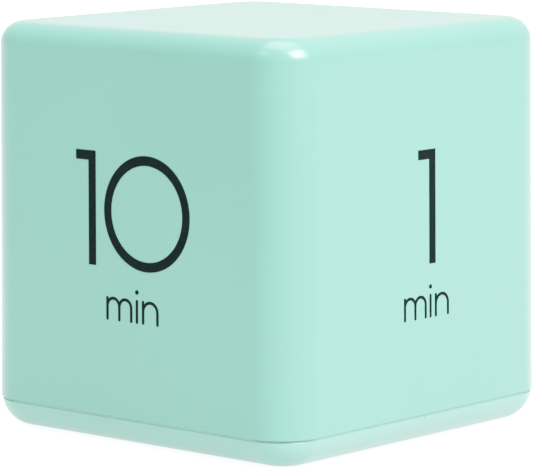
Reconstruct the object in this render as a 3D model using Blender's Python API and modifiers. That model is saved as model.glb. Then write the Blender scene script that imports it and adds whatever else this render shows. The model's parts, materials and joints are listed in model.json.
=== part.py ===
"""Preset cube timer: a drafted shell on a screwed base cover, with its battery bay, board and switches.

Metres, +Z up. The origin is the middle of the underside. The face towards -Y is the front, and the cube is
square in plan. Each piece is one object. Pieces that touch on the real timer are GAP apart here.
"""

import math

import bmesh
import bpy
from mathutils import Matrix, Vector

GAP = 0.0003  # left between two pieces that touch
CUT = 0.001  # how far a cutter runs past what it cuts
CHAMFER = 0.0003  # on small turned edges

# Outside of the cube
WIDTH = 0.0635  # across the flats, at the shell's lower edge
HEIGHT = 0.0635
DRAFT = math.radians(0.4)  # lean of each side of the shell
SEAM_HEIGHT = 0.00455  # lower edge of the shell
CORNER_RADIUS = 0.007  # upright edges
TOP_RADIUS = 0.00365
BASE_RADIUS = 0.0047  # underside edge of the base cover
BASE_INSET = 0.0002  # the base cover stands in from the shell

# Mouldings
WALL = 0.002  # shell and base floor
LIP_THICKNESS = 0.0012
LIP_HEIGHT = 0.0021  # above the seam
PRY_NOTCH_WIDTH = 0.001
PRY_NOTCH_HEIGHT = 0.0018
PRY_NOTCH_DEPTH = 0.0003

# Cover screws and their bosses, one at each corner
BOSS_INSET = 0.0088  # screw axis, in from the outer face
SHELL_BOSS_RADIUS = 0.0032
BASE_BOSS_RADIUS = 0.0039
BOSS_SPLIT = 0.0097  # top of the base cover's bosses
SCREW_RADIUS = 0.0011
SCREW_HEAD_RADIUS = 0.0022
SCREW_HEAD_HEIGHT = 0.0015
SCREW_HEAD_ROOM = 0.0005  # round the head, in its hole
SCREW_HEAD_CHAMFER = 0.0004
RECESS_DEPTH = 0.0009
SCREW_SEAT = 0.0029  # height of the shoulder under which the head pulls
SCREW_GRIP = 0.006  # thread inside the shell's boss
RIB_THICKNESS = 0.0012

# AAA cells, side by side along X
CELL_LENGTH = 0.0445
CELL_RADIUS = 0.00525
CELL_NUB_RADIUS = 0.0019
CELL_NUB_LENGTH = 0.001
CELL_BEVEL = 0.0004
CELL_LIFT = 0.0005  # above the closed door
SPRING_LENGTH = 0.0024
SPRING_WIRE_RADIUS = 0.00025
SPRING_TURNS = 3
SPRING_WIDE = 0.0031  # coil radius at the plate
SPRING_NARROW = 0.0016  # coil radius at the cell
PLATE_THICKNESS = 0.0004
PLATE_WIDTH = 0.008
PLATE_MARGIN = 0.001  # plate edge above the lowest and below the highest point of a cell
TAB_WIDTH = 0.0025
TAB_REACH = 0.0014  # above the circuit board

# Battery bay and its door
DOOR_THICKNESS = 0.0015
DOOR_RECESS = 0.0003
DOOR_LEDGE = 0.001  # width of the ledge that the door closes against
DOOR_CORNER = 0.001
BAY_WALL = 0.0016
BAY_ROOF = 0.001
HINGE_TAB_REACH = 0.0025
HINGE_TAB_THICKNESS = 0.0007
HINGE_TAB_ROOM = (0.0005, 0.001)  # from a tab to the switch's seat, and to the board post beyond it
HINGE_TAB_SWING = 0.002  # room over a tab, for its swing
LATCH_WIDTH = 0.008
LATCH_THICKNESS = 0.0008
LATCH_HEIGHT = 0.002
GRIP_LENGTH = 0.01
GRIP_WIDTH = 0.0008
GRIP_DEPTH = 0.0005

# Circuit board and what is on it
BOARD_END_ROOM = 0.0026  # from each end of the board to the end of the battery bay
BOARD_DEPTH = 0.037
BOARD_THICKNESS = 0.0016
BOARD_CORNER = 0.001
POST_RADIUS = 0.0022
POST_MARGIN = 0.0033  # post axis, in from the board's edge
BOARD_SCREW_RADIUS = 0.0008
BOARD_SCREW_HEAD_RADIUS = 0.0017
BOARD_SCREW_HEAD_HEIGHT = 0.0011
BOARD_SCREW_LENGTH = 0.006
BOARD_RECESS_DEPTH = 0.0006
TIP_ROOM = 0.0005  # hole left past a board screw's tip
BLOB_RADIUS = 0.0042
BLOB_HEIGHT = 0.0015
CRYSTAL_LENGTH = 0.0102
CRYSTAL_DEPTH = 0.0038
CRYSTAL_HEIGHT = 0.0035
CRYSTAL_ROUNDING = 0.0004
CRYSTAL_PLACE = (0.011, -0.011)
CAPACITOR_RADIUS = 0.0025
CAPACITOR_HEIGHT = 0.007
CAPACITOR_PLACE = (-0.011, 0.011, 0)
CRIMP_HEIGHT = 0.0012
CRIMP_WIDTH = 0.0008

# Tilt switches: a ball in an inclined can, which rolls out onto two pins when the cube lies on that side
TILT_SLOPE = math.radians(12)
TILT_START = 0.005  # inner end of each can, from the middle
TILT_CAN_LENGTH = 0.01
TILT_CAN_WALL = 0.0004
BALL_RADIUS = 0.0019
PLUG_DEPTH = 0.0013
PLUG_FLANGE = 0.0007
TILT_PIN_RADIUS = 0.0003
TILT_PIN_SPACING = 0.0022
TILT_PIN_REACH = 0.0009  # of each pin, past the plug at both ends

# Piezo sounder behind the sound holes
SOUNDER_STANDOFF = 0.0007  # from the battery bay
SOUNDER_MARGIN = 0.001  # from the lip
SOUNDER_THICKNESS = 0.0003
CERAMIC_RADIUS = 0.0048
CERAMIC_THICKNESS = 0.00025
SOUNDER_RING_WIDTH = 0.0012
SOUNDER_RING_HEIGHT = 0.0025
SOUND_HOLE_RADIUS = 0.0008
SOUND_HOLE_CIRCLE = 0.0034

# Slide switch and its knob
SWITCH_TRAVEL = 0.003
SWITCH_LENGTH = 0.012
SWITCH_DEPTH = 0.0056
SWITCH_HEIGHT = 0.0049
SWITCH_SHEET = 0.0005
SWITCH_EAR = 0.0035
SWITCH_STANDOFF = 0.001  # from the battery bay
SEAT_MARGIN = 0.0005  # past each of the switch's ears
SWITCH_PAD_THICKNESS = 0.0012  # base floor over the knob's pocket
SLIDER_LENGTH = 0.006
SLIDER_DEPTH = 0.0036
SLIDER_HEIGHT = 0.002
STEM_LENGTH = 0.0026
STEM_DEPTH = 0.0012
KNOB_LENGTH = 0.0048
KNOB_DEPTH = 0.0042
KNOB_HEIGHT = 0.0014
KNOB_BOTTOM = 0.0005
KNOB_CORNER = 0.0006
KNOB_POCKET_ROOM = 0.0004
KNOB_RIB_HEIGHT = 0.00035
KNOB_RIB_WIDTH = 0.0006
KNOB_RIB_PITCH = 0.0013
KNOB_RIB_MARGIN = 0.0005
STAKE_RADIUS = 0.0009
STAKE_HEAD = 0.0006  # above the switch's ear
TERMINAL_PITCH = 0.0025
TERMINAL_RADIUS = 0.0004
TERMINAL_ROOM = 0.0011  # from the outer terminals to the end of their window
TERMINAL_REACH = 0.0016  # above the switch
TERMINAL_BOARD = 0.0009

LEAD_RADIUS = 0.0005

# Worked out from the above
BASE_WIDTH = WIDTH - 2 * BASE_INSET
BASE_TOP = SEAM_HEIGHT - GAP
BOSS_PLACE = WIDTH / 2 - BOSS_INSET
LIP_WIDTH = WIDTH - 2 * WALL - 2 * GAP
BOSS_CORNERS = [(x, y) for x in (-1, 1) for y in (-1, 1)]
DOOR_TOP = DOOR_RECESS + DOOR_THICKNESS
CELL_PLACE = CELL_RADIUS + GAP / 2  # of each cell's axis, from the middle
CELL_HEIGHT = DOOR_TOP + CELL_LIFT + CELL_RADIUS
BAY_LENGTH = CELL_LENGTH + SPRING_LENGTH + 2 * PLATE_THICKNESS + 5 * GAP
BAY_DEPTH = 2 * (CELL_PLACE + CELL_RADIUS + GAP)
BAY_CEILING = CELL_HEIGHT + CELL_RADIUS + GAP
BAY_TOP = BAY_CEILING + BAY_ROOF
DOOR_OPENING_LENGTH = BAY_LENGTH + DOOR_LEDGE
DOOR_OPENING_DEPTH = BAY_DEPTH + 2 * DOOR_LEDGE
PLATE_PLACE = BAY_LENGTH / 2 - GAP - PLATE_THICKNESS / 2
BOARD_WIDTH = BAY_LENGTH - 2 * BOARD_END_ROOM
BOARD_BOTTOM = BAY_TOP + GAP
BOARD_TOP = BOARD_BOTTOM + BOARD_THICKNESS
POST_PLACE = (BOARD_WIDTH / 2 - POST_MARGIN, BOARD_DEPTH / 2 - POST_MARGIN)
TAB_TOP = BOARD_TOP + TAB_REACH
BAY_EDGE = BAY_DEPTH / 2 + BAY_WALL
TRAY_WIDTH = LIP_WIDTH - 2 * LIP_THICKNESS
SOUNDER_RADIUS = (TRAY_WIDTH / 2 - BAY_EDGE - SOUNDER_STANDOFF - SOUNDER_MARGIN) / 2
SOUNDER_Y = BAY_EDGE + SOUNDER_STANDOFF + SOUNDER_RADIUS
SOUNDER_PLACE = Vector((0, SOUNDER_Y, WALL + SOUNDER_RING_HEIGHT + GAP))
SWITCH_Y = -(BAY_EDGE + SWITCH_STANDOFF + SWITCH_DEPTH / 2)
KNOB_TOP = KNOB_BOTTOM + KNOB_HEIGHT
SWITCH_PAD = KNOB_TOP + GAP + SWITCH_PAD_THICKNESS
SWITCH_BOTTOM = SWITCH_PAD + GAP
SWITCH_OFF = -SWITCH_TRAVEL / 2  # where the slider rests
STAKE_PLACE = SWITCH_LENGTH / 2 + SWITCH_EAR / 2
SEAT_LENGTH = SWITCH_LENGTH + 2 * (SWITCH_EAR + SEAT_MARGIN)
HINGE_TAB_START = SEAT_LENGTH / 2 + HINGE_TAB_ROOM[0]
HINGE_TAB_END = POST_PLACE[0] - POST_RADIUS - HINGE_TAB_ROOM[1]
HINGE_TAB_WIDTH = HINGE_TAB_END - HINGE_TAB_START
HINGE_TAB_OFFSET = (HINGE_TAB_START + HINGE_TAB_END) / 2  # of each tab from the middle
TERMINAL_TOP = SWITCH_BOTTOM + SWITCH_HEIGHT + TERMINAL_REACH
TILT_CAN_RADIUS = BALL_RADIUS + GAP + TILT_CAN_WALL
TILT_HEIGHT = BOARD_TOP + GAP + TILT_CAN_RADIUS

ROUND_STEPS = 24
SMALL_STEPS = 16
EDGE_SEGMENTS = 4
CORNER_SEGMENTS = 6


def clear_scene():
    for old in list(bpy.data.objects):
        bpy.data.objects.remove(old, do_unlink=True)


def new_collection(name):
    collection = bpy.data.collections.new(name)
    bpy.context.scene.collection.children.link(collection)
    return collection


clear_scene()
PARTS = new_collection("kitchen_timer")
CUTTERS = new_collection("cutters")


def new_material(name, colour, roughness, metallic=0.0):
    material = bpy.data.materials.new(name)
    material.use_nodes = True
    shader = material.node_tree.nodes["Principled BSDF"]
    shader.inputs["Base Color"].default_value = (*colour, 1)
    shader.inputs["Roughness"].default_value = roughness
    shader.inputs["Metallic"].default_value = metallic
    return material


MINT = new_material("mint_plastic", (0.38, 0.72, 0.62), 0.3)
PALE_MINT = new_material("pale_mint_plastic", (0.45, 0.75, 0.66), 0.35)
JACKET = new_material("cell_jacket", (0.05, 0.10, 0.12), 0.3)
NICKEL = new_material("nickel", (0.75, 0.74, 0.70), 0.25, 1.0)
STEEL = new_material("steel", (0.60, 0.60, 0.60), 0.3, 1.0)
BRASS = new_material("brass", (0.80, 0.60, 0.25), 0.3, 1.0)
BOARD = new_material("board_laminate", (0.02, 0.18, 0.06), 0.4)
EPOXY = new_material("epoxy", (0.01, 0.01, 0.01), 0.25)
CERAMIC = new_material("ceramic", (0.80, 0.78, 0.72), 0.5)
BLACK_PLASTIC = new_material("black_plastic", (0.02, 0.02, 0.02), 0.4)
PHENOLIC = new_material("phenolic", (0.30, 0.14, 0.06), 0.5)
SLEEVE = new_material("capacitor_sleeve", (0.03, 0.06, 0.20), 0.35)
RED_VINYL = new_material("red_vinyl", (0.55, 0.02, 0.02), 0.4)
BLACK_VINYL = new_material("black_vinyl", (0.02, 0.02, 0.02), 0.4)


def new_object(name, mesh, material=None):
    """A part if it has a material, else a cutter or a piece that is joined to one."""
    thing = bpy.data.objects.new(name, mesh)
    if material is None:
        CUTTERS.objects.link(thing)
        thing.hide_render = True
        thing.display_type = "WIRE"
        return thing
    PARTS.objects.link(thing)
    thing.data.materials.append(material)
    thing.data.shade_smooth()
    thing.data.set_sharp_from_angle(angle=math.radians(35))
    return thing


def mesh_from(bm, name):
    mesh = bpy.data.meshes.new(name)
    bmesh.ops.recalc_face_normals(bm, faces=bm.faces)
    bm.to_mesh(mesh)
    bm.free()
    return mesh


def bevel(bm, edges, radius, segments):
    bmesh.ops.bevel(bm, geom=edges, offset=radius, segments=segments, profile=0.5, affect="EDGES")


def rim_edges(bm, height):
    return [e for e in bm.edges if all(abs(v.co.z - height) < 1e-7 for v in e.verts)]


def block(
    name, size, bottom, top, material=None, centre=(0, 0), corner=0.0, top_edge=0.0, base_edge=0.0, draft=0.0
):
    """An upright block with rounded corners and rims, of this size at its bottom. draft leans its sides."""
    bm = bmesh.new()
    bmesh.ops.create_cube(bm, size=1.0)
    bmesh.ops.scale(bm, vec=(size[0], size[1], top - bottom), verts=bm.verts)
    bmesh.ops.translate(bm, vec=(0, 0, (top + bottom) / 2), verts=bm.verts)
    lean = (top - bottom) * math.tan(draft)
    for vert in bm.verts:
        if vert.co.z > (top + bottom) / 2:
            vert.co.x -= math.copysign(lean, vert.co.x)
            vert.co.y -= math.copysign(lean, vert.co.y)
    if corner:
        tall = (top - bottom) / 2
        upright = [e for e in bm.edges if abs(e.verts[0].co.z - e.verts[1].co.z) > tall]
        bevel(bm, upright, corner, CORNER_SEGMENTS)
    if top_edge:
        bevel(bm, rim_edges(bm, top), top_edge, EDGE_SEGMENTS)
    if base_edge:
        bevel(bm, rim_edges(bm, bottom), base_edge, EDGE_SEGMENTS)
    thing = new_object(name, mesh_from(bm, name), material)
    thing.location = (centre[0], centre[1], 0)
    return thing


def cylinder(name, radius, bottom, top, material=None, centre=(0, 0), steps=ROUND_STEPS):
    bm = bmesh.new()
    bmesh.ops.create_cone(
        bm, cap_ends=True, segments=steps, radius1=radius, radius2=radius, depth=top - bottom
    )
    thing = new_object(name, mesh_from(bm, name), material)
    thing.location = (centre[0], centre[1], (top + bottom) / 2)
    return thing


def small_tool(name, radius, bottom, top, centre):
    """An upright tool for a screw hole or a pin."""
    return cylinder(name, radius, bottom, top, centre=centre, steps=SMALL_STEPS)


def turned(name, profile, material=None, steps=ROUND_STEPS):
    """A solid of revolution about Z, from (radius, height) points that run down its outer side."""
    mesh = bpy.data.meshes.new(name)
    points = [(radius, 0, height) for radius, height in profile]
    mesh.from_pydata(points, [(i, i + 1) for i in range(len(points) - 1)], [])
    thing = new_object(name, mesh, material)
    screw = thing.modifiers.new("turn", "SCREW")
    screw.steps = steps
    screw.render_steps = steps
    screw.use_merge_vertices = True
    screw.merge_threshold = 1e-5
    screw.use_smooth_shade = True
    return thing


def smooth_route(points, count):
    """count points along one smooth curve through the given points (Catmull-Rom)."""
    knots = [Vector(p) for p in points]
    knots = [2 * knots[0] - knots[1], *knots, 2 * knots[-1] - knots[-2]]
    spans = len(knots) - 3
    route = []
    for step in range(count):
        place = spans * step / (count - 1)
        i = min(int(place), spans - 1)
        t = place - i
        a, b, c, d = knots[i : i + 4]
        slope, bend, twist = c - a, 2 * a - 5 * b + 4 * c - d, 3 * b - a - 3 * c + d
        route.append(0.5 * (2 * b + slope * t + bend * t**2 + twist * t**3))
    return route


def wire_curve(name, points, radius):
    curve = bpy.data.curves.new(name, "CURVE")
    curve.dimensions = "3D"
    curve.bevel_depth = radius
    curve.bevel_resolution = 2
    curve.use_fill_caps = True
    spline = curve.splines.new("POLY")
    spline.points.add(len(points) - 1)
    for knot, point in zip(spline.points, points):
        knot.co = (*point, 1)
    return curve


def wire(name, points, radius, material):
    """A bent wire or lead as a curve with filled caps."""
    thing = bpy.data.objects.new(name, wire_curve(name, points, radius))
    PARTS.objects.link(thing)
    thing.data.materials.append(material)
    return thing


def wire_tool(name, points, radius):
    """The same wire as a mesh with welded caps, for a Boolean."""
    guide = bpy.data.objects.new(name + "_guide", wire_curve(name, points, radius))
    CUTTERS.objects.link(guide)
    graph = bpy.context.evaluated_depsgraph_get()
    mesh = bpy.data.meshes.new_from_object(guide.evaluated_get(graph))
    place = guide.matrix_world.copy()
    bpy.data.objects.remove(guide)
    bm = bmesh.new()
    bm.from_mesh(mesh)
    bmesh.ops.remove_doubles(bm, verts=bm.verts, dist=1e-6)
    bmesh.ops.recalc_face_normals(bm, faces=bm.faces)
    bm.to_mesh(mesh)
    bm.free()
    tool = new_object(name, mesh)
    tool.matrix_world = place
    return tool


def combine(target, tools, operation):
    for tool in tools:
        modifier = target.modifiers.new(tool.name, "BOOLEAN")
        modifier.operation = operation
        modifier.object = tool


def join(target, *tools):
    combine(target, tools, "UNION")


def cut(target, *tools):
    combine(target, tools, "DIFFERENCE")


def copy_finished(thing, names, places):
    """Gives the object its finished mesh, and puts a copy of it at each place, the object itself first."""
    bpy.context.view_layer.update()
    graph = bpy.context.evaluated_depsgraph_get()
    mesh = bpy.data.meshes.new_from_object(thing.evaluated_get(graph))
    thing.modifiers.clear()
    thing.data = mesh
    for name, place in zip(names, places):
        copy = thing if name == thing.name else bpy.data.objects.new(name, mesh)
        if copy is not thing:
            PARTS.objects.link(copy)
        copy.location = place


# Casing


def make_outer_shell():
    rounding = {"corner": CORNER_RADIUS, "top_edge": TOP_RADIUS}
    shell = block("outer_shell", (WIDTH, WIDTH), SEAM_HEIGHT, HEIGHT, MINT, draft=DRAFT, **rounding)
    bm = bmesh.new()
    bm.from_mesh(shell.data)
    floor = [f for f in bm.faces if all(abs(v.co.z - SEAM_HEIGHT) < 1e-7 for v in f.verts)]
    bmesh.ops.delete(bm, geom=floor, context="FACES_ONLY")
    bm.to_mesh(shell.data)
    bm.free()
    hollow = shell.modifiers.new("wall", "SOLIDIFY")
    hollow.thickness = WALL
    hollow.offset = -1
    hollow.use_even_offset = True
    boss_bottom = BOSS_SPLIT + GAP
    rib_length = WIDTH / 2 - WALL / 2 - BOSS_PLACE
    rib_span = (boss_bottom + CUT, HEIGHT - TOP_RADIUS)
    pilot_top = boss_bottom + SCREW_GRIP + CUT
    for x, y in BOSS_CORNERS:
        place = (x * BOSS_PLACE, y * BOSS_PLACE)
        beside = (place[0] + x * rib_length / 2, place[1])
        behind = (place[0], place[1] + y * rib_length / 2)
        join(
            shell,
            cylinder("shell_boss", SHELL_BOSS_RADIUS, boss_bottom, HEIGHT - WALL / 2, centre=place),
            block("boss_rib", (rib_length, RIB_THICKNESS), *rib_span, centre=beside),
            block("boss_rib", (RIB_THICKNESS, rib_length), *rib_span, centre=behind),
        )
        cut(shell, small_tool("pilot_hole", SCREW_RADIUS + GAP, boss_bottom - CUT, pilot_top, place))


def make_base_cover():
    size = (BASE_WIDTH, BASE_WIDTH)
    rounding = {"corner": CORNER_RADIUS - BASE_INSET, "base_edge": BASE_RADIUS}
    cover = block("base_cover", size, 0, 2 * BASE_RADIUS, PALE_MINT, **rounding)
    cut(cover, block("rim_cut", (2 * WIDTH, 2 * WIDTH), BASE_TOP, 3 * BASE_RADIUS))
    lip_top = SEAM_HEIGHT + LIP_HEIGHT
    lip_corner = CORNER_RADIUS - WALL - GAP
    tray_corner = lip_corner - LIP_THICKNESS
    join(cover, block("lip", (LIP_WIDTH, LIP_WIDTH), BASE_TOP - CUT, lip_top, corner=lip_corner))
    cut(cover, block("tray", (TRAY_WIDTH, TRAY_WIDTH), WALL, lip_top + CUT, corner=tray_corner))
    add_base_bosses(cover)
    add_board_posts(cover)
    add_battery_bay(cover)
    drill_board_posts(cover)
    add_sounder_seat(cover)
    add_switch_seat(cover)
    notch = (2 * PRY_NOTCH_DEPTH, PRY_NOTCH_WIDTH)
    side = (BASE_WIDTH / 2, 0)
    cut(cover, block("pry_notch", notch, BASE_TOP - PRY_NOTCH_HEIGHT, BASE_TOP + CUT, centre=side))


def add_base_bosses(cover):
    for x, y in BOSS_CORNERS:
        place = (x * BOSS_PLACE, y * BOSS_PLACE)
        join(cover, cylinder("base_boss", BASE_BOSS_RADIUS, WALL / 2, BOSS_SPLIT, centre=place))
        head_room = SCREW_HEAD_RADIUS + SCREW_HEAD_ROOM
        cut(
            cover,
            cylinder("head_hole", head_room, -CUT, SCREW_SEAT, centre=place),
            small_tool("screw_hole", SCREW_RADIUS + GAP, 0, BOSS_SPLIT + CUT, place),
        )


def add_board_posts(cover):
    for x, y in BOSS_CORNERS:
        place = (x * POST_PLACE[0], y * POST_PLACE[1])
        join(cover, cylinder("board_post", POST_RADIUS, WALL / 2, BAY_TOP, centre=place))


def drill_board_posts(cover):
    """Two of the four posts take a screw."""
    depth = BOARD_TOP + GAP - BOARD_SCREW_LENGTH - TIP_ROOM
    for x in (-1, 1):
        place = (x * POST_PLACE[0], -x * POST_PLACE[1])
        cut(cover, small_tool("post_hole", BOARD_SCREW_RADIUS + GAP, depth, BAY_TOP + CUT, place))


def add_battery_bay(cover):
    outer = (BAY_LENGTH + 2 * BAY_WALL, BAY_DEPTH + 2 * BAY_WALL)
    opening = (DOOR_OPENING_LENGTH, DOOR_OPENING_DEPTH)
    join(cover, block("bay", outer, WALL / 2, BAY_TOP))
    cut(
        cover,
        block("bay_room", (BAY_LENGTH, BAY_DEPTH), -CUT, BAY_CEILING),
        block("door_opening", opening, -CUT, DOOR_TOP + GAP, corner=DOOR_CORNER),
    )
    for side in (-1, 1):
        notch = (HINGE_TAB_WIDTH + 2 * GAP, BAY_WALL + 2 * CUT)
        centre = (side * HINGE_TAB_OFFSET, -(BAY_DEPTH + BAY_WALL) / 2)
        top = WALL + 2 * GAP + HINGE_TAB_THICKNESS + HINGE_TAB_SWING
        foot = (notch[0], DOOR_LEDGE)
        foot_centre = (side * HINGE_TAB_OFFSET, -(DOOR_OPENING_DEPTH - DOOR_LEDGE) / 2)
        cut(
            cover,
            block("tab_notch", notch, WALL, top, centre=centre),
            block("foot_notch", foot, -CUT, WALL + GAP, centre=foot_centre),
        )
        slot = (PLATE_THICKNESS + 2 * GAP, TAB_WIDTH + 2 * GAP)
        place = (PLATE_PLACE, side * CELL_PLACE)
        cut(cover, block("tab_slot", slot, BAY_CEILING - CUT, BAY_TOP + CUT, centre=place))


def add_sounder_seat(cover):
    place = SOUNDER_PLACE.xy
    top = WALL + SOUNDER_RING_HEIGHT
    join(cover, cylinder("sounder_ring", SOUNDER_RADIUS, WALL / 2, top, centre=place))
    cut(cover, cylinder("ring_room", SOUNDER_RADIUS - SOUNDER_RING_WIDTH, WALL, top + CUT, centre=place))
    holes = [place]
    holes += [
        place + SOUND_HOLE_CIRCLE * Vector((math.cos(turn), math.sin(turn)))
        for turn in (math.tau * i / 6 for i in range(6))
    ]
    for hole in holes:
        cut(cover, cylinder("sound_hole", SOUND_HOLE_RADIUS, -CUT, WALL + CUT, centre=hole, steps=12))


def add_switch_seat(cover):
    place = (0, SWITCH_Y)
    join(cover, block("switch_pad", (SEAT_LENGTH, SWITCH_DEPTH), WALL / 2, SWITCH_PAD, centre=place))
    pocket = (KNOB_LENGTH + SWITCH_TRAVEL + 2 * KNOB_POCKET_ROOM, KNOB_DEPTH + 2 * KNOB_POCKET_ROOM)
    slot = (STEM_LENGTH + SWITCH_TRAVEL + 2 * GAP, STEM_DEPTH + 2 * GAP)
    cut(
        cover,
        block("knob_pocket", pocket, -CUT, KNOB_TOP + GAP, centre=place, corner=DOOR_CORNER),
        block("stem_slot", slot, 0, SWITCH_PAD + CUT, centre=place),
    )
    for side in (-1, 1):
        stake = (side * STAKE_PLACE, SWITCH_Y)
        top = SWITCH_BOTTOM + SWITCH_SHEET + STAKE_HEAD
        join(cover, cylinder("heat_stake", STAKE_RADIUS, WALL, top, centre=stake, steps=SMALL_STEPS))


def make_cover_screws():
    head_bottom = SCREW_SEAT - GAP - SCREW_HEAD_HEIGHT
    tip = BOSS_SPLIT + GAP + SCREW_GRIP
    profile = [
        (0, tip),
        (SCREW_RADIUS, tip - SCREW_RADIUS),
        (SCREW_RADIUS, SCREW_SEAT - GAP),
        (SCREW_HEAD_RADIUS, SCREW_SEAT - GAP),
        (SCREW_HEAD_RADIUS, head_bottom + SCREW_HEAD_CHAMFER),
        (SCREW_HEAD_RADIUS - SCREW_HEAD_CHAMFER, head_bottom),
        (0, head_bottom),
    ]
    names = ["cover_screw_" + side for side in ("front_left", "back_left", "front_right", "back_right")]
    screw = turned(names[0], profile, STEEL, SMALL_STEPS)
    cut_cross(screw, SCREW_HEAD_RADIUS, head_bottom - CUT, head_bottom + RECESS_DEPTH)
    copy_finished(screw, names, [(x * BOSS_PLACE, y * BOSS_PLACE, 0) for x, y in BOSS_CORNERS])


def cut_cross(screw, head_radius, bottom, top):
    """A cross recess in a screw's head."""
    arm = (1.3 * head_radius, 0.27 * head_radius)
    cut(screw, block("recess", arm, bottom, top), block("recess", arm[::-1], bottom, top))


# Battery bay


def make_battery_door():
    """The door's origin is on its hinge, at the outer corner of the opening."""
    hinge = Vector((0, -DOOR_OPENING_DEPTH / 2, 0))
    length = DOOR_OPENING_LENGTH - 2 * GAP
    depth = DOOR_OPENING_DEPTH - 2 * GAP
    door = block("battery_door", (length, depth), DOOR_RECESS, DOOR_TOP, PALE_MINT, corner=DOOR_CORNER - GAP)
    tab_span = (WALL + GAP, WALL + GAP + HINGE_TAB_THICKNESS)
    foot_span = (DOOR_TOP - DOOR_THICKNESS / 2, tab_span[1])
    edge = -depth / 2
    reach = HINGE_TAB_REACH + DOOR_LEDGE
    for side in (-1, 1):
        foot = (side * HINGE_TAB_OFFSET, edge + DOOR_LEDGE / 2)
        tab = (side * HINGE_TAB_OFFSET, edge + DOOR_LEDGE - reach / 2)
        join(
            door,
            block("tab_foot", (HINGE_TAB_WIDTH, DOOR_LEDGE), *foot_span, centre=foot),
            block("tab", (HINGE_TAB_WIDTH, reach), *tab_span, centre=tab),
        )
    latch_y = BAY_DEPTH / 2 - 2 * GAP - LATCH_THICKNESS / 2
    latch_span = (DOOR_TOP - DOOR_THICKNESS / 2, DOOR_TOP + LATCH_HEIGHT)
    join(door, block("latch", (LATCH_WIDTH, LATCH_THICKNESS), *latch_span, centre=(0, latch_y)))
    for row in range(3):
        grip = (0, depth / 2 - (2.5 + 2 * row) * GRIP_WIDTH)
        cut(door, block("grip", (GRIP_LENGTH, GRIP_WIDTH), -CUT, DOOR_RECESS + GRIP_DEPTH, centre=grip))
    carry_on_pivot(door, "battery_door_hinge", hinge)


def carry_on_pivot(thing, name, place):
    pivot = bpy.data.objects.new(name, None)
    PARTS.objects.link(pivot)
    pivot.location = place
    thing.parent = pivot
    thing.location -= Vector(place)


def make_cells():
    """Two cells side by side, facing opposite ways."""
    shoulder = CELL_LENGTH - CELL_NUB_LENGTH
    profile = [
        (0, CELL_LENGTH),
        (CELL_NUB_RADIUS, CELL_LENGTH),
        (CELL_NUB_RADIUS, shoulder),
        (CELL_RADIUS - CELL_BEVEL, shoulder),
        (CELL_RADIUS, shoulder - CELL_BEVEL),
        (CELL_RADIUS, CELL_BEVEL),
        (CELL_RADIUS - CELL_BEVEL, 0),
        (0, 0),
    ]
    for name, sign in (("battery_front", 1), ("battery_back", -1)):
        cell = turned(name, profile, JACKET)
        cell.rotation_euler = (0, sign * math.pi / 2, 0)
        positive_end = PLATE_PLACE - PLATE_THICKNESS / 2 - GAP
        cell.location = (sign * (positive_end - CELL_LENGTH), -sign * CELL_PLACE, CELL_HEIGHT)


def contact_plate(name, x, width, y, tabs):
    bottom = CELL_HEIGHT - CELL_RADIUS + PLATE_MARGIN
    top = CELL_HEIGHT + CELL_RADIUS - PLATE_MARGIN
    plate = block(name, (PLATE_THICKNESS, width), bottom, top, NICKEL, centre=(x, y))
    if tabs:
        join(plate, block("tab", (PLATE_THICKNESS, TAB_WIDTH), top - CUT, TAB_TOP, centre=(x, y)))
    return plate


def contact_spring(name, x, y):
    """A cone of wire that narrows from the plate at x to its cell."""
    inward = -math.copysign(1, x)
    start = x + inward * (PLATE_THICKNESS / 2 + GAP + SPRING_WIRE_RADIUS)
    rise = SPRING_LENGTH - 2 * SPRING_WIRE_RADIUS
    steps_per_turn = 10
    points = []
    for step in range(SPRING_TURNS * steps_per_turn + 1):
        share = step / (SPRING_TURNS * steps_per_turn)
        radius = SPRING_WIDE + (SPRING_NARROW - SPRING_WIDE) * share
        turn = math.tau * step / steps_per_turn
        reach = start + inward * rise * share
        points.append((reach, y + radius * math.cos(turn), CELL_HEIGHT + radius * math.sin(turn)))
    wire(name, points, SPRING_WIRE_RADIUS, NICKEL)


def make_contacts():
    contact_plate("positive_contact", PLATE_PLACE, PLATE_WIDTH, -CELL_PLACE, tabs=True)
    contact_plate("negative_contact", PLATE_PLACE, PLATE_WIDTH, CELL_PLACE, tabs=True)
    contact_plate("bridge_contact", -PLATE_PLACE, PLATE_WIDTH + 2 * CELL_PLACE, 0, tabs=False)
    contact_spring("negative_spring", PLATE_PLACE, CELL_PLACE)
    contact_spring("bridge_spring", -PLATE_PLACE, -CELL_PLACE)


# Circuit board


def make_board():
    size = (BOARD_WIDTH, BOARD_DEPTH)
    board = block("circuit_board", size, BOARD_BOTTOM, BOARD_TOP, BOARD, corner=BOARD_CORNER)
    head_bottom = BOARD_TOP + GAP
    top = head_bottom + BOARD_SCREW_HEAD_HEIGHT
    tip = head_bottom - BOARD_SCREW_LENGTH
    profile = [
        (0, top),
        (BOARD_SCREW_HEAD_RADIUS - CHAMFER, top),
        (BOARD_SCREW_HEAD_RADIUS, top - CHAMFER),
        (BOARD_SCREW_HEAD_RADIUS, head_bottom),
        (BOARD_SCREW_RADIUS, head_bottom),
        (BOARD_SCREW_RADIUS, tip + BOARD_SCREW_RADIUS),
        (0, tip),
    ]
    names = ["board_screw_left", "board_screw_right"]
    screw = turned(names[0], profile, STEEL, SMALL_STEPS)
    cut_cross(screw, BOARD_SCREW_HEAD_RADIUS, top - BOARD_RECESS_DEPTH, top + CUT)
    places = [(x * POST_PLACE[0], -x * POST_PLACE[1], 0) for x in (-1, 1)]
    copy_finished(screw, names, places)
    for place in places:
        radius = BOARD_SCREW_RADIUS + GAP
        cut(board, small_tool("board_hole", radius, BOARD_BOTTOM - CUT, BOARD_TOP + CUT, place[:2]))


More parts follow.
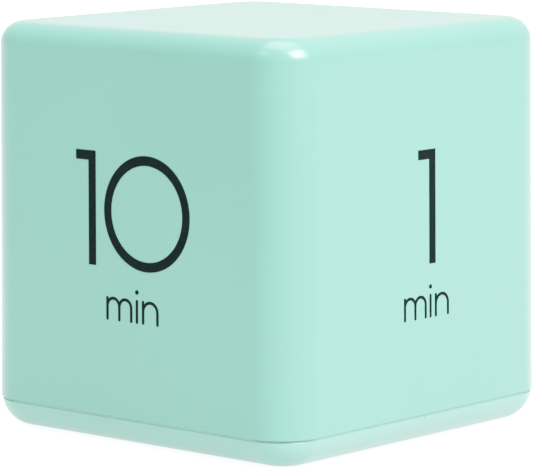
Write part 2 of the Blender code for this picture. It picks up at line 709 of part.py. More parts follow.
def make_board_pieces():
    bottom = BOARD_TOP + GAP
    arc = [math.radians(15 * i) for i in range(7)]
    dome = [(BLOB_RADIUS * math.sin(a), bottom + BLOB_HEIGHT * math.cos(a)) for a in arc]
    turned("controller_blob", [*dome, (0, bottom)], EPOXY)
    block(
        "timing_crystal",
        (CRYSTAL_LENGTH, CRYSTAL_DEPTH),
        bottom,
        bottom + CRYSTAL_HEIGHT,
        NICKEL,
        centre=CRYSTAL_PLACE,
        corner=0.9 * CRYSTAL_DEPTH / 2,
        top_edge=CRYSTAL_ROUNDING,
    )
    top = bottom + CAPACITOR_HEIGHT
    neck = CAPACITOR_RADIUS - CHAMFER
    capacitor = turned(
        "smoothing_capacitor",
        [
            (0, top),
            (neck, top),
            (CAPACITOR_RADIUS, top - CHAMFER),
            (CAPACITOR_RADIUS, bottom + CRIMP_HEIGHT + CRIMP_WIDTH / 2),
            (neck, bottom + CRIMP_HEIGHT),
            (CAPACITOR_RADIUS, bottom + CRIMP_HEIGHT - CRIMP_WIDTH / 2),
            (CAPACITOR_RADIUS, bottom),
            (0, bottom),
        ],
        SLEEVE,
    )
    capacitor.location = CAPACITOR_PLACE


# Tilt switches


def make_tilt_switch(side, azimuth):
    """One can, its plug with two pins, and its ball, on an empty turned to face the side it senses."""
    frame = bpy.data.objects.new("tilt_frame_" + side, None)
    PARTS.objects.link(frame)
    frame.rotation_euler = (0, 0, azimuth)
    lean = Matrix.Rotation(math.pi / 2 - TILT_SLOPE, 4, "Y")
    tube = Matrix.Translation((TILT_START, 0, TILT_HEIGHT)) @ lean
    bore = BALL_RADIUS + GAP
    can = turned(
        "tilt_can_" + side,
        [
            (0, TILT_CAN_WALL),
            (bore, TILT_CAN_WALL),
            (bore, TILT_CAN_LENGTH),
            (TILT_CAN_RADIUS, TILT_CAN_LENGTH),
            (TILT_CAN_RADIUS, CHAMFER),
            (TILT_CAN_RADIUS - CHAMFER, 0),
            (0, 0),
        ],
        NICKEL,
        SMALL_STEPS,
    )
    flange_bottom = TILT_CAN_LENGTH + GAP
    plug = turned(
        "tilt_plug_" + side,
        [
            (0, flange_bottom + PLUG_FLANGE),
            (TILT_CAN_RADIUS, flange_bottom + PLUG_FLANGE),
            (TILT_CAN_RADIUS, flange_bottom),
            (bore - GAP, flange_bottom),
            (bore - GAP, TILT_CAN_LENGTH - PLUG_DEPTH),
            (0, TILT_CAN_LENGTH - PLUG_DEPTH),
        ],
        BLACK_PLASTIC,
        SMALL_STEPS,
    )
    ball_mesh = bmesh.new()
    bmesh.ops.create_uvsphere(ball_mesh, u_segments=12, v_segments=8, radius=BALL_RADIUS)
    ball = new_object("tilt_ball_" + side, mesh_from(ball_mesh, "tilt_ball_" + side), STEEL)
    ball_start = TILT_CAN_WALL + GAP + BALL_RADIUS
    half_step = Matrix.Rotation(math.pi / SMALL_STEPS, 4, "Z")
    for thing, place in ((can, 0), (plug, 0), (ball, ball_start)):
        thing.parent = frame
        thing.matrix_local = tube @ Matrix.Translation((0, 0, place)) @ half_step
    for pin_side in (-1, 1):
        y = pin_side * TILT_PIN_SPACING / 2
        inner = tube @ Vector((0, y, TILT_CAN_LENGTH - PLUG_DEPTH - TILT_PIN_REACH))
        outer = tube @ Vector((0, y, flange_bottom + PLUG_FLANGE + TILT_PIN_REACH))
        bend = outer + Vector((1.6, 0, -1.3)) * TILT_PIN_RADIUS
        foot = Vector((bend.x, y, BOARD_TOP + GAP))
        pin = wire_tool("tilt_pin", [inner, outer, bend, foot], TILT_PIN_RADIUS)
        pin.parent = frame
        join(plug, pin)


def make_tilt_switches():
    for quarter, side in enumerate(("right", "back", "left", "front")):
        make_tilt_switch(side, quarter * math.pi / 2)


# Sounder


def make_sounder():
    place = SOUNDER_PLACE.xy
    bottom = SOUNDER_PLACE.z
    top = bottom + SOUNDER_THICKNESS
    cylinder("sounder_disc", SOUNDER_RADIUS, bottom, top, BRASS, centre=place)
    bottom = top + GAP
    top = bottom + CERAMIC_THICKNESS
    cylinder("sounder_ceramic", CERAMIC_RADIUS, bottom, top, CERAMIC, centre=place)


# Power switch


def make_switch_frame():
    place = (0, SWITCH_Y)
    top = SWITCH_BOTTOM + SWITCH_HEIGHT
    frame = block("switch_frame", (SWITCH_LENGTH, SWITCH_DEPTH), SWITCH_BOTTOM, top, STEEL, centre=place)
    ears = (SWITCH_LENGTH + 2 * SWITCH_EAR, SWITCH_DEPTH)
    inside = (SWITCH_LENGTH - 2 * SWITCH_SHEET, SWITCH_DEPTH - 2 * SWITCH_SHEET)
    window = (2 * TERMINAL_PITCH + 2 * TERMINAL_ROOM, 4 * TERMINAL_RADIUS)
    join(frame, block("ears", ears, SWITCH_BOTTOM, SWITCH_BOTTOM + SWITCH_SHEET, centre=place))
    cut(
        frame,
        block("switch_room", inside, SWITCH_BOTTOM - CUT, top - SWITCH_SHEET, centre=place),
        block("terminal_window", window, top - 2 * SWITCH_SHEET, top + CUT, centre=place),
    )
    for side in (-1, 1):
        stake = (side * STAKE_PLACE, SWITCH_Y)
        cut(frame, small_tool("stake_hole", STAKE_RADIUS + GAP, SWITCH_BOTTOM - CUT, top, stake))


def make_switch_terminals():
    top = SWITCH_BOTTOM + SWITCH_HEIGHT - SWITCH_SHEET - GAP
    size = (SWITCH_LENGTH - 2 * SWITCH_SHEET - 2 * GAP, SWITCH_DEPTH - 2 * SWITCH_SHEET - 2 * GAP)
    bottom = top - TERMINAL_BOARD
    terminals = block("switch_terminals", size, bottom, top, PHENOLIC, centre=(0, SWITCH_Y))
    for place in (-1, 0, 1):
        centre = (place * TERMINAL_PITCH, SWITCH_Y)
        root = (bottom + top) / 2
        join(terminals, small_tool("terminal", TERMINAL_RADIUS, root, TERMINAL_TOP, centre))


def make_switch_slider():
    """The slider and the knob start at the off end of their travel."""
    place = (SWITCH_OFF, SWITCH_Y)
    bottom = SWITCH_BOTTOM + 2 * GAP
    size = (SLIDER_LENGTH, SLIDER_DEPTH)
    slider = block("switch_slider", size, bottom, bottom + SLIDER_HEIGHT, BLACK_PLASTIC, centre=place)
    stem_end = KNOB_BOTTOM + KNOB_HEIGHT / 2 + GAP / 2
    join(slider, block("stem", (STEM_LENGTH, STEM_DEPTH), stem_end, bottom + CUT, centre=place))
    size = (KNOB_LENGTH, KNOB_DEPTH)
    knob = block("switch_knob", size, KNOB_BOTTOM, KNOB_TOP, BLACK_PLASTIC, centre=place, corner=KNOB_CORNER)
    socket = (STEM_LENGTH + 2 * GAP, STEM_DEPTH + 2 * GAP)
    cut(knob, block("socket", socket, stem_end - GAP, KNOB_TOP + CUT, centre=place))
    rib = (KNOB_RIB_WIDTH, KNOB_DEPTH - 2 * KNOB_RIB_MARGIN)
    for row in (-1, 0, 1):
        centre = (SWITCH_OFF + row * KNOB_RIB_PITCH, SWITCH_Y)
        join(knob, block("knob_rib", rib, KNOB_BOTTOM - KNOB_RIB_HEIGHT, KNOB_BOTTOM + GAP, centre=centre))


# Leads


def make_leads():
    """Short leads between the board and the contacts, the switch and the sounder."""
    board = BOARD_TOP + GAP
    under = BOARD_BOTTOM - GAP - LEAD_RADIUS / 2
    plate = PLATE_PLACE - PLATE_THICKNESS / 2 - GAP
    high = TAB_TOP - LEAD_RADIUS
    for name, side, vinyl in (("battery_lead_red", -1, RED_VINYL), ("battery_lead_black", 1, BLACK_VINYL)):
        y = side * CELL_PLACE
        route = [
            (plate, y, high),
            (plate - 0.0015, y + side * 0.0002, high + 0.0006),
            (plate - 0.0045, y + side * 0.0012, high + 0.0008),
            (plate - 0.0068, y + side * 0.0017, high - 0.0001),
            (plate - 0.0072, y + side * 0.0018, board),
        ]
        wire(name, smooth_route(route, 14), LEAD_RADIUS, vinyl)
    for name, place, bow in (("switch_lead_one", -1, -0.0007), ("switch_lead_two", 0, 0.0007)):
        x = place * TERMINAL_PITCH
        start = TERMINAL_TOP + GAP
        route = [(x, SWITCH_Y, start), (x + bow, SWITCH_Y, (start + under) / 2), (x, SWITCH_Y, under)]
        wire(name, smooth_route(route, 10), LEAD_RADIUS, RED_VINYL if place else BLACK_VINYL)
    disc = SOUNDER_PLACE.z + SOUNDER_THICKNESS + GAP
    middle = (CERAMIC_RADIUS + SOUNDER_RADIUS) / 2
    edge = SOUNDER_PLACE.y - middle * math.sin(math.pi / 4)
    brass_x = -middle * math.cos(math.pi / 4)
    route = [
        (brass_x, edge, disc),
        (brass_x - 0.0006, edge + 0.0003, (disc + under) / 2),
        (brass_x + 0.0004, edge - 0.0004, under),
    ]
    wire("sounder_lead_black", smooth_route(route, 14), LEAD_RADIUS, BLACK_VINYL)
    top = disc + CERAMIC_THICKNESS + GAP
    inner = SOUNDER_PLACE.y - CERAMIC_RADIUS / 2
    route = [
        (0.0024, inner, top),
        (0.0032, inner - 0.0002, (top + under) / 2),
        (0.0030, edge - 0.0004, under),
    ]
    wire("sounder_lead_red", smooth_route(route, 14), LEAD_RADIUS, RED_VINYL)


make_outer_shell()
make_base_cover()
make_cover_screws()
make_battery_door()
make_cells()
make_contacts()
make_board()
make_board_pieces()
make_tilt_switches()
make_sounder()
make_switch_frame()
make_switch_terminals()
make_switch_slider()
make_leads()
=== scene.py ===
"""The looks of a preset cube timer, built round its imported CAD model.

Metres, +Z up, in the part's own frame. Heights are measured up from the underside.
"""

import json
import math

import bmesh
import bpy
from mathutils import Matrix, Vector


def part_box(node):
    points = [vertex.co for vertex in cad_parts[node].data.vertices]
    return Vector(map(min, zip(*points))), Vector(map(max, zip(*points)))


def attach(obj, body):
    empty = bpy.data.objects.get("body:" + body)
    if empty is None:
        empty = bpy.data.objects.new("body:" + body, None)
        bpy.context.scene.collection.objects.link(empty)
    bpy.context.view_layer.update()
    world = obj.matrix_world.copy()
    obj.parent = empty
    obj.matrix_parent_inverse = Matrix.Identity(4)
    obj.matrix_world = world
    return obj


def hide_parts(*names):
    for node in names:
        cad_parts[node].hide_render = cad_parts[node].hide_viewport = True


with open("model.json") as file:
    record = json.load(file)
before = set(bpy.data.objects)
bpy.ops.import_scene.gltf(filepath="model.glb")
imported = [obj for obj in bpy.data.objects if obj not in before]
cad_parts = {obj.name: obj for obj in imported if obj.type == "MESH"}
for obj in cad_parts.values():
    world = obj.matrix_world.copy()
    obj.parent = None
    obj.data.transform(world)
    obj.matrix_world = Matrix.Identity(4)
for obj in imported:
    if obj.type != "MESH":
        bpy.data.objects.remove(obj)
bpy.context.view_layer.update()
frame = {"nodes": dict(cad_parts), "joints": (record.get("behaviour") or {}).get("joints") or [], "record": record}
NODES = frame["nodes"]

# Casing
GAP = 0.0003  # between pieces that touch
OVER = 0.001  # how far a tool runs past what it cuts
SEAM = 0.00455  # height of the shell's lower edge
DRAFT = math.radians(0.4)  # of the shell's sides
WALL = 0.002  # of the shell and the base's floor
CORNER_RADIUS = 0.007  # upright edges
TOP_RADIUS = 0.00365  # round the top face
BASE_RADIUS = 0.0047  # round the underside
BASE_INSET = 0.0002  # base cover's sides, in from the shell's
SHELL_CHAMFER = 0.0001  # on the shell's lower edge, in two facets
RIM_CHAMFER = 0.00008  # on the base cover's upper edge
SHOULDER_INSET = 0.0001  # of the shoulder that closes the seam, in from the base cover's side
SHOULDER_TOP = 0.00026  # its height over the base cover's upper edge
SHOULDER_CORNER = 0.00025  # added to its corner radius, so that the seam is deepest at the corners
LIP_THICKNESS = 0.0012  # of the lip that enters the shell
LIP_TOP = 0.00665
PRY_NOTCH_DEPTH = 0.00011
PRY_NOTCH_WIDTH = 0.001
PRY_NOTCH_HEIGHT = 0.0026
EDGE = 0.00012  # softening of the mouldings' sharp edges

# Inside the casing
COVER_SCREWS = [
    "cover_screw_front_left",
    "cover_screw_front_right",
    "cover_screw_back_left",
    "cover_screw_back_right",
]
SIDES = (-1, 1)
SHELL_BOSS_RADIUS = 0.0032
BASE_BOSS_RADIUS = 0.0039
BOSS_SPLIT = 0.0097  # where the base's bosses end and the shell's begin, a gap higher
RIB_THICKNESS = 0.0012
SCREW_HEAD_ROOM = 0.0005  # round the head
SCREW_HEAD_SEAT = 6 * GAP  # up from the screw's lower end
SCREW_GRIP = 0.006
BAY_WALL = 0.0016
TAB_NOTCH_WIDTH = 0.0056  # notches that the door's tabs turn in
TAB_NOTCH_TOP = 0.005
TAB_NOTCH_PLACE = 0.013  # out from the middle of the bay
CONTACT_SLOT = (0.001, 0.0031)  # through the top of the bay
POST_RADIUS = 0.0022  # under the board
RING_WIDTH = 0.0012  # under the sounder
SOUND_HOLE_RADIUS = 0.0008
SOUND_HOLE_CIRCLE = 0.0034  # radius of the circle that the outer ones lie on
OUTER_SOUND_HOLES = 6
POCKET_ROOM = 0.0004  # round the switch knob
STAKE_RADIUS = 0.0009  # of the two pins that hold the switch

# Fineness of round shapes: steps along a bend, or sides of a whole round
CORNER_STEPS = 14
EDGE_STEPS = 10
INNER_EDGE_STEPS = 6
BASE_FILLET_STEPS = 14
SMALL_ROUND = 24
SCREW_HOLE_ROUND = 32
ROUND = 48
LARGE_ROUND = 64
FLOOR_ROUND = 96
ZERO_STEPS = 96
BOWL_STEPS = 60
ARCH_STEPS = 20
ROUND_END_STEPS = 6

# Softened edges
FLAT_ANGLE = math.radians(0.4)  # faces within this are merged first
SHARP_ANGLE = math.radians(38)

# Print on the four sides: places are across the face from its middle, and up from the underside
INK_THICKNESS = 0.00004
INK_SUNK = 0.00002
NUMERAL_STROKE = 0.00146
NUMERAL_TOP = 0.045
NUMERAL_BOTTOM = 0.02755
MIDDLE_LINE = 0.00072
ONE_WIDTH = 0.00407
ZERO_RADIUS = 0.00876
ZERO_HEIGHT = 0.03616  # of its middle
FIVE_RADIUS = 0.00575
FIVE_WIDTH = 0.0103
FIVE_BAR_SHORT = 0.8 * NUMERAL_STROKE  # how far its bar stops short of its bowl's right side
FIVE_BOWL_TURN = (142, -152)  # where the bowl starts and ends, in degrees
TEN_LEFT = -0.01095
TEN_RIGHT = 0.01243
FIGURE_SPACE = 0.0022
NUMERAL_RISE = {"ten": -0.00005, "one": 0.00009}  # how far the pads printed off their places
UNIT_SHIFT = {"one": -0.00011}
UNIT_STROKE = 0.00045
UNIT_BASELINE = 0.01934
UNIT_TOP = 0.02298  # height of its small letters
UNIT_STEMS = {"m": (-0.00451, -0.00203, 0.00045), "i": (0.00163,), "n": (0.00291, 0.00586)}
DOT_HEIGHT = 0.02412
DOT_RADIUS = 0.00034
ROUND_END_SHARE = 0.97  # of its last quarter turn, so that it ends in a narrow face

# Camera: angles are seen from the part, and the aim is moved to the right and up in the view
CAMERA_AZIMUTH = math.radians(41.4)
CAMERA_ELEVATION = math.radians(7.77)
CAMERA_ROLL = math.radians(-0.21)
CAMERA_DISTANCE = 0.5562
CAMERA_AIM = Vector((0, 0, 0.031))
CAMERA_RIGHT = -0.00015
CAMERA_UP = -0.00137
CAMERA_LENS = 239.1  # mm
CAMERA_SENSOR = 36  # mm
CAMERA_NEAR = 0.01

# Floor, light and exposure
FLOOR_RADIUS = 4
FLOOR_DROP = 0.0002  # under the object
FLOOR_GREYS = (0.39, 0.41)
FLOOR_GLOW = 1.25
LIGHT_DISTANCE = 0.9
WORLD_STRENGTH = 1.56
WHITE_LEVEL = 1.55  # scene light that is shown as full white
SHOULDER = ((0.34, 0.355), (0.51, 0.503), (0.69, 0.645), (0.87, 0.745), (1.035, 0.815))  # light, shown
COMBINED_CURVE = 3  # after red, green and blue
INDIRECT_CLAMP = 1.5

# Materials: colours are linear
PLASTIC_IOR = 1.5
MINT = (0.098, 0.252, 0.203)
PALE_MINT = (0.137, 0.295, 0.248)
INK_DARK = (0.002, 0.0062, 0.0051)
INK_LIGHT = (0.0034, 0.0088, 0.0077)
NICKEL = (0.72, 0.70, 0.66)
STEEL = (0.62, 0.62, 0.63)
BRASS = (0.80, 0.60, 0.27)
BARE_CAN = (0.62, 0.60, 0.56)
COPPER = (0.62, 0.27, 0.10)
BRIGHT_COPPER = (0.66, 0.30, 0.12)
JACKET_BLACK = (0.03, 0.035, 0.04)
JACKET_GREY = (0.035, 0.04, 0.045)
MASK_DARK = (0.008, 0.10, 0.035)
MASK_GREEN = (0.01, 0.13, 0.045)
MASK_ON_TRACK = (0.03, 0.24, 0.09)
SILVERED = (0.60, 0.59, 0.55)
SILVER_SPECK = (0.82, 0.81, 0.77)
EPOXY = (0.012, 0.012, 0.013)
DARK_PLASTIC = (0.022, 0.022, 0.023)
PHENOLIC = (0.28, 0.13, 0.055)
SLEEVE_BLUE = (0.02, 0.035, 0.11)
RED_VINYL = (0.52, 0.02, 0.018)
BLACK_VINYL = (0.02, 0.02, 0.021)
BLACK = (0, 0, 0, 1)
QUARTER_GREY = (0.25, 0.25, 0.25, 1)
WHITE = (1, 1, 1, 1)

shell_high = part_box("outer_shell")[1]
HALF = shell_high.x
HEIGHT = shell_high.z
LEAN = (HEIGHT - SEAM) * math.tan(DRAFT)  # how far the sides draw in towards the top
SHELL_SIZE = (2 * HALF, 2 * HALF)
BASE_SIZE = (2 * (HALF - BASE_INSET), 2 * (HALF - BASE_INSET))
BASE_TOP = SEAM - GAP


def middle(node):
    low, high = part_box(node)
    return (low + high) / 2


# Modelling


def new_piece(name, mesh):
    piece = bpy.data.objects.new(name, mesh)
    bpy.context.scene.collection.objects.link(piece)
    return piece


def mesh_of(bm, name):
    mesh = bpy.data.meshes.new(name)
    bmesh.ops.remove_doubles(bm, verts=bm.verts, dist=1e-7)
    bmesh.ops.recalc_face_normals(bm, faces=bm.faces)
    bm.to_mesh(mesh)
    bm.free()
    return mesh


def bridge(bm, low, high):
    """Faces between two loops of points that run the same way round."""
    for i in range(len(low)):
        bm.faces.new((low[i - 1], low[i], high[i], high[i - 1]))


def outline(size, corner, inset, steps):
    """The points of a rounded rectangle, drawn in by inset, anticlockwise."""
    across, along = (side / 2 - inset - corner for side in size)
    points = []
    for quarter, (x, y) in enumerate(((1, 1), (-1, 1), (-1, -1), (1, -1))):
        for step in range(steps + 1):
            turn = (quarter + step / steps) * math.pi / 2
            points.append((x * across + corner * math.cos(turn), y * along + corner * math.sin(turn)))
    return points


def loft(name, size, rings, centre=(0, 0), steps=CORNER_STEPS):
    """A solid through rounded rectangles, given as (height, inset, corner radius), with its ends closed."""
    bm = bmesh.new()
    loops = []
    for height, inset, corner in rings:
        points = outline(size, corner, inset, steps)
        loops.append([bm.verts.new((centre[0] + x, centre[1] + y, height)) for x, y in points])
    for low, high in zip(loops, loops[1:]):
        bridge(bm, low, high)
    bm.faces.new(loops[0][::-1])
    bm.faces.new(loops[-1])
    return new_piece(name, mesh_of(bm, name))


def block(name, size, bottom, top, centre=(0, 0), corner=0.0):
    rings = [(bottom, 0, corner), (top, 0, corner)]
    return loft(name, size, rings, centre, CORNER_STEPS if corner else 1)


def peg(name, radius, bottom, top, centre, steps=ROUND):
    bm = bmesh.new()
    bmesh.ops.create_cone(
        bm, cap_ends=True, segments=steps, radius1=radius, radius2=radius, depth=top - bottom
    )
    bmesh.ops.translate(bm, vec=(centre[0], centre[1], (top + bottom) / 2), verts=bm.verts)
    return new_piece(name, mesh_of(bm, name))


def combine(piece, operation, tools):
    for tool in tools:
        modifier = piece.modifiers.new(tool.name, "BOOLEAN")
        modifier.operation = operation
        modifier.object = tool


def join(piece, *tools):
    combine(piece, "UNION", tools)


def cut(piece, *tools):
    combine(piece, "DIFFERENCE", tools)


def settle(piece):
    """Gives the piece its finished mesh and removes the tools that made it."""
    bpy.context.view_layer.update()
    tools = [modifier.object for modifier in piece.modifiers if modifier.type == "BOOLEAN"]
    graph = bpy.context.evaluated_depsgraph_get()
    mesh = bpy.data.meshes.new_from_object(piece.evaluated_get(graph))
    piece.modifiers.clear()
    piece.data = mesh
    for tool in tools:
        bpy.data.objects.remove(tool)
    return piece


def soften(piece, width=EDGE):
    """Rounds the sharp edges a little, as moulded and formed parts have them, and shades the rest smooth."""
    flatten = piece.modifiers.new("flats", "DECIMATE")
    flatten.decimate_type = "DISSOLVE"
    flatten.angle_limit = FLAT_ANGLE
    round_off = piece.modifiers.new("edges", "BEVEL")
    round_off.width = width
    round_off.segments = 2
    round_off.limit_method = "ANGLE"
    round_off.angle_limit = SHARP_ANGLE
    round_off.miter_outer = "MITER_ARC"
    normals = piece.modifiers.new("normals", "WEIGHTED_NORMAL")
    normals.keep_sharp = True
    piece.data.shade_smooth()


def quarter_turn(steps):
    return [math.pi / 2 * step / steps for step in range(steps + 1)]


# Casing


def make_shell():
    """The drafted upper moulding: down its inside, round its lower edge and up its outside."""
    inner_radius = TOP_RADIUS - WALL
    ceiling = HEIGHT - WALL
    inner_corner = CORNER_RADIUS - WALL
    rings = []
    for turn in quarter_turn(INNER_EDGE_STEPS):
        drawn_in = inner_radius * (1 - math.sin(turn))
        height = ceiling - inner_radius * (1 - math.cos(turn))
        rings.append((height, WALL + LEAN + drawn_in, inner_corner - drawn_in))
    rings += [
        (SEAM, WALL, inner_corner),
        (SEAM, SHELL_CHAMFER, CORNER_RADIUS - SHELL_CHAMFER),
        (SEAM + SHELL_CHAMFER / 3, SHELL_CHAMFER / 3, CORNER_RADIUS - SHELL_CHAMFER / 3),
        (SEAM + SHELL_CHAMFER, 0, CORNER_RADIUS),
    ]
    for turn in quarter_turn(EDGE_STEPS):
        drawn_in = TOP_RADIUS * (1 - math.cos(turn))
        height = HEIGHT - TOP_RADIUS * (1 - math.sin(turn))
        rings.append((height, LEAN + drawn_in, CORNER_RADIUS - drawn_in))
    shell = loft("shell_moulding", SHELL_SIZE, rings)
    for name in COVER_SCREWS:
        add_shell_boss(shell, name)
    return settle(shell)


def add_shell_boss(shell, screw_name):
    """A boss that a cover screw threads into, tied by ribs to the two sides nearest it."""
    low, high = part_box(screw_name)
    screw = middle(screw_name)
    x, y = math.copysign(1, screw.x), math.copysign(1, screw.y)
    reach = HALF - WALL / 2 - abs(screw.x)
    bottom = BOSS_SPLIT + GAP
    rib_bottom = bottom + OVER
    rib_top = HEIGHT - TOP_RADIUS
    join(
        shell,
        peg("boss", SHELL_BOSS_RADIUS, bottom, HEIGHT - WALL / 2, screw),
        block("rib", (reach, RIB_THICKNESS), rib_bottom, rib_top, (screw.x + x * reach / 2, screw.y)),
        block("rib", (RIB_THICKNESS, reach), rib_bottom, rib_top, (screw.x, screw.y + y * reach / 2)),
    )
    shaft_radius = (high.x - low.x) / 4  # half the head's
    hole_top = bottom + SCREW_GRIP + OVER
    cut(shell, peg("pilot", shaft_radius, bottom - OVER, hole_top, screw, SMALL_ROUND))


def base_fillet(corner):
    """Rings up the base's rounded outside, closer together low down, where it lies nearly flat."""
    rings = [(0, BASE_RADIUS, corner - BASE_RADIUS)]
    rim = BASE_TOP - RIM_CHAMFER
    for step in range(1, BASE_FILLET_STEPS + 1):
        height = rim * (step / BASE_FILLET_STEPS) ** 2
        drawn_in = BASE_RADIUS - math.sqrt(BASE_RADIUS**2 - (BASE_RADIUS - height) ** 2)
        rings.append((height, drawn_in, corner - drawn_in))
    return rings


def make_base():
    """The cover under the shell: a fillet outside, a lip that enters the shell, and a tray inside."""
    corner = CORNER_RADIUS - BASE_INSET
    shoulder_corner = corner - SHOULDER_INSET + SHOULDER_CORNER
    shoulder_top = BASE_TOP + SHOULDER_TOP
    lip = BASE_SIZE[0] / 2 - (HALF - WALL - GAP)
    tray = lip + LIP_THICKNESS
    rings = base_fillet(corner) + [
        (BASE_TOP, RIM_CHAMFER, corner - RIM_CHAMFER),
        (BASE_TOP, SHOULDER_INSET, shoulder_corner),
        (shoulder_top, SHOULDER_INSET, shoulder_corner),
        (shoulder_top, lip, corner - lip),
        (LIP_TOP - EDGE, lip, corner - lip),
        (LIP_TOP, lip + EDGE, corner - lip - EDGE),
        (LIP_TOP, tray, corner - tray),
        (WALL, tray, corner - tray),
    ]
    base = loft("base_moulding", BASE_SIZE, rings)
    add_screw_bosses(base)
    add_battery_bay(base)
    add_sounder_seat(base)
    add_switch_seat(base)
    add_pry_notch(base)
    return settle(base)


def add_screw_bosses(base):
    """A boss with a sunk head's hole at each cover screw, and a post for the board beside each."""
    bay_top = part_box("base_cover")[1].z
    post = middle("board_screw_right")
    for name in COVER_SCREWS:
        low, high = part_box(name)
        screw = middle(name)
        x, y = math.copysign(1, screw.x), math.copysign(1, screw.y)
        join(
            base,
            peg("boss", BASE_BOSS_RADIUS, WALL / 2, BOSS_SPLIT, screw),
            peg("post", POST_RADIUS, WALL / 2, bay_top, (x * abs(post.x), y * abs(post.y))),
        )
        head_radius = (high.x - low.x) / 2
        shaft_radius = head_radius / 2
        cut(
            base,
            peg("head_hole", head_radius + SCREW_HEAD_ROOM, -OVER, low.z + SCREW_HEAD_SEAT, screw),
            peg("screw_hole", shaft_radius + GAP, 0, BOSS_SPLIT + OVER, screw, SCREW_HOLE_ROUND),
        )


def add_battery_bay(base):
    """A bay over the cells, open below for the door, notched for its tabs and slotted for the contacts."""
    cell_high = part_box("battery_back")[1]
    room = (2 * (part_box("positive_contact")[1].x + GAP), 2 * (cell_high.y + GAP))
    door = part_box("battery_door")[1]
    opening = (2 * (door.x + GAP), 2 * (door.y + GAP))
    bay_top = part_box("base_cover")[1].z
    ledge = WALL + GAP / 3  # just past the inside of the base's floor
    join(base, block("bay", (room[0] + 2 * BAY_WALL, room[1] + 2 * BAY_WALL), WALL / 2, bay_top))
    cut(
        base,
        block("bay_room", room, -OVER, cell_high.z + GAP),
        block("door_opening", opening, -OVER, ledge, corner=OVER),
    )
    notch = (TAB_NOTCH_WIDTH, BAY_WALL + 2 * OVER)
    for side in SIDES:
        place = (side * TAB_NOTCH_PLACE, -(room[1] + BAY_WALL) / 2)
        cut(base, block("tab_notch", notch, WALL, TAB_NOTCH_TOP, place))
    contact = middle("positive_contact")
    for side in SIDES:
        place = (contact.x, side * abs(contact.y))
        cut(base, block("tab_slot", CONTACT_SLOT, cell_high.z, bay_top + OVER, place))


def add_sounder_seat(base):
    """A raised ring that carries the sounder, over sound holes in the base's floor."""
    low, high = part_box("sounder_disc")
    place = middle("sounder_disc")
    radius = (high.x - low.x) / 2
    top = low.z - GAP
    join(base, peg("ring", radius, WALL / 2, top, place, LARGE_ROUND))
    cut(base, peg("ring_room", radius - RING_WIDTH, WALL, top + OVER, place, LARGE_ROUND))
    centre = Vector((place.x, place.y))
    holes = [centre]
    for i in range(OUTER_SOUND_HOLES):
        turn = math.tau * i / OUTER_SOUND_HOLES
        holes.append(centre + SOUND_HOLE_CIRCLE * Vector((math.cos(turn), math.sin(turn))))
    for hole in holes:
        cut(base, peg("sound_hole", SOUND_HOLE_RADIUS, -OVER, WALL + OVER, hole, SMALL_ROUND))


def add_switch_seat(base):
    """A raised seat for the switch, with a pocket below for its knob, a slot for its stem and two stakes."""
    frame_low, frame_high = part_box("switch_frame")
    knob_low, knob_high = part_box("switch_knob")
    slide = next(joint for joint in frame["joints"] if joint["name"] == "power_slide")
    travel = slide["range_m"][1]
    place = (0, middle("switch_frame").y)
    seat = (2 * frame_high.x + OVER, frame_high.y - frame_low.y)
    seat_top = frame_low.z - GAP
    join(base, block("seat", seat, WALL / 2, seat_top, place))
    knob = knob_high - knob_low
    pocket = (knob.x + travel + 2 * POCKET_ROOM, knob.y + 2 * POCKET_ROOM)
    slot = (knob.x / 2 + travel + GAP, knob.y / 3 + GAP)
    cut(
        base,
        block("knob_pocket", pocket, -OVER, knob_high.z + GAP, place, corner=OVER),
        block("stem_slot", slot, 0, seat_top + OVER, place),
    )
    for side in SIDES:
        stake = (side * (frame_high.x - 2 * STAKE_RADIUS), place[1])
        join(base, peg("stake", STAKE_RADIUS, WALL, frame_low.z + STAKE_RADIUS, stake, SMALL_ROUND))


def add_pry_notch(base):
    """A faint upright notch under the seam, in the middle of the right side."""
    size = (2 * PRY_NOTCH_DEPTH, PRY_NOTCH_WIDTH)
    place = (BASE_SIZE[0] / 2, 0)
    cut(base, block("pry_notch", size, BASE_TOP - PRY_NOTCH_HEIGHT, BASE_TOP + GAP / 2, place))


# Print


def pen_line(points, width, closed=False, round_ends=False):
    """Stations along a pen line: each is its middle and the vector from there to the line's edge."""
    points = [Vector(point) for point in points]
    ends = points[1:] + points[:1] if closed else points[1:]
    legs = [(end - start).normalized() for start, end in zip(points, ends)]
    stations = []
    for i, point in enumerate(points):
        met = []
        if closed or i > 0:
            met.append(legs[i - 1])
        if i < len(legs):
            met.append(legs[i])
        sides = [Vector((-leg.y, leg.x)) for leg in met]
        mitre = sum(sides, Vector((0, 0))).normalized()  # along the corner's bisector
        stations.append((point, mitre * width / 2 / mitre.dot(sides[0])))
    if round_ends:
        stations = round_end(stations[::-1])[::-1]
        stations = round_end(stations)
    return stations


def round_end(stations):
    """Carries the line on past its last station, in a half circle."""
    point, side = stations[-1]
    way = (point - stations[-2][0]).normalized() * side.length
    turns = [math.pi / 2 * step / ROUND_END_STEPS for step in range(1, ROUND_END_STEPS)]
    turns.append(math.pi / 2 * ROUND_END_SHARE)
    return stations + [(point + way * math.sin(turn), side * math.cos(turn)) for turn in turns]


def ink_stroke(name, stations, closed=False):
    """A flat solid of ink along the stations, sunk a little under z = 0."""
    bm = bmesh.new()
    loops = []
    for point, side in stations:
        left, right = point + side, point - side
        corners = ((left, -INK_SUNK), (left, INK_THICKNESS), (right, INK_THICKNESS), (right, -INK_SUNK))
        loops.append([bm.verts.new((place.x, place.y, height)) for place, height in corners])
    for low, high in zip(loops, loops[1:]):
        bridge(bm, low, high)
    if closed:
        bridge(bm, loops[-1], loops[0])
    else:
        bm.faces.new(loops[0])
        bm.faces.new(loops[-1][::-1])
    return new_piece(name, mesh_of(bm, name))


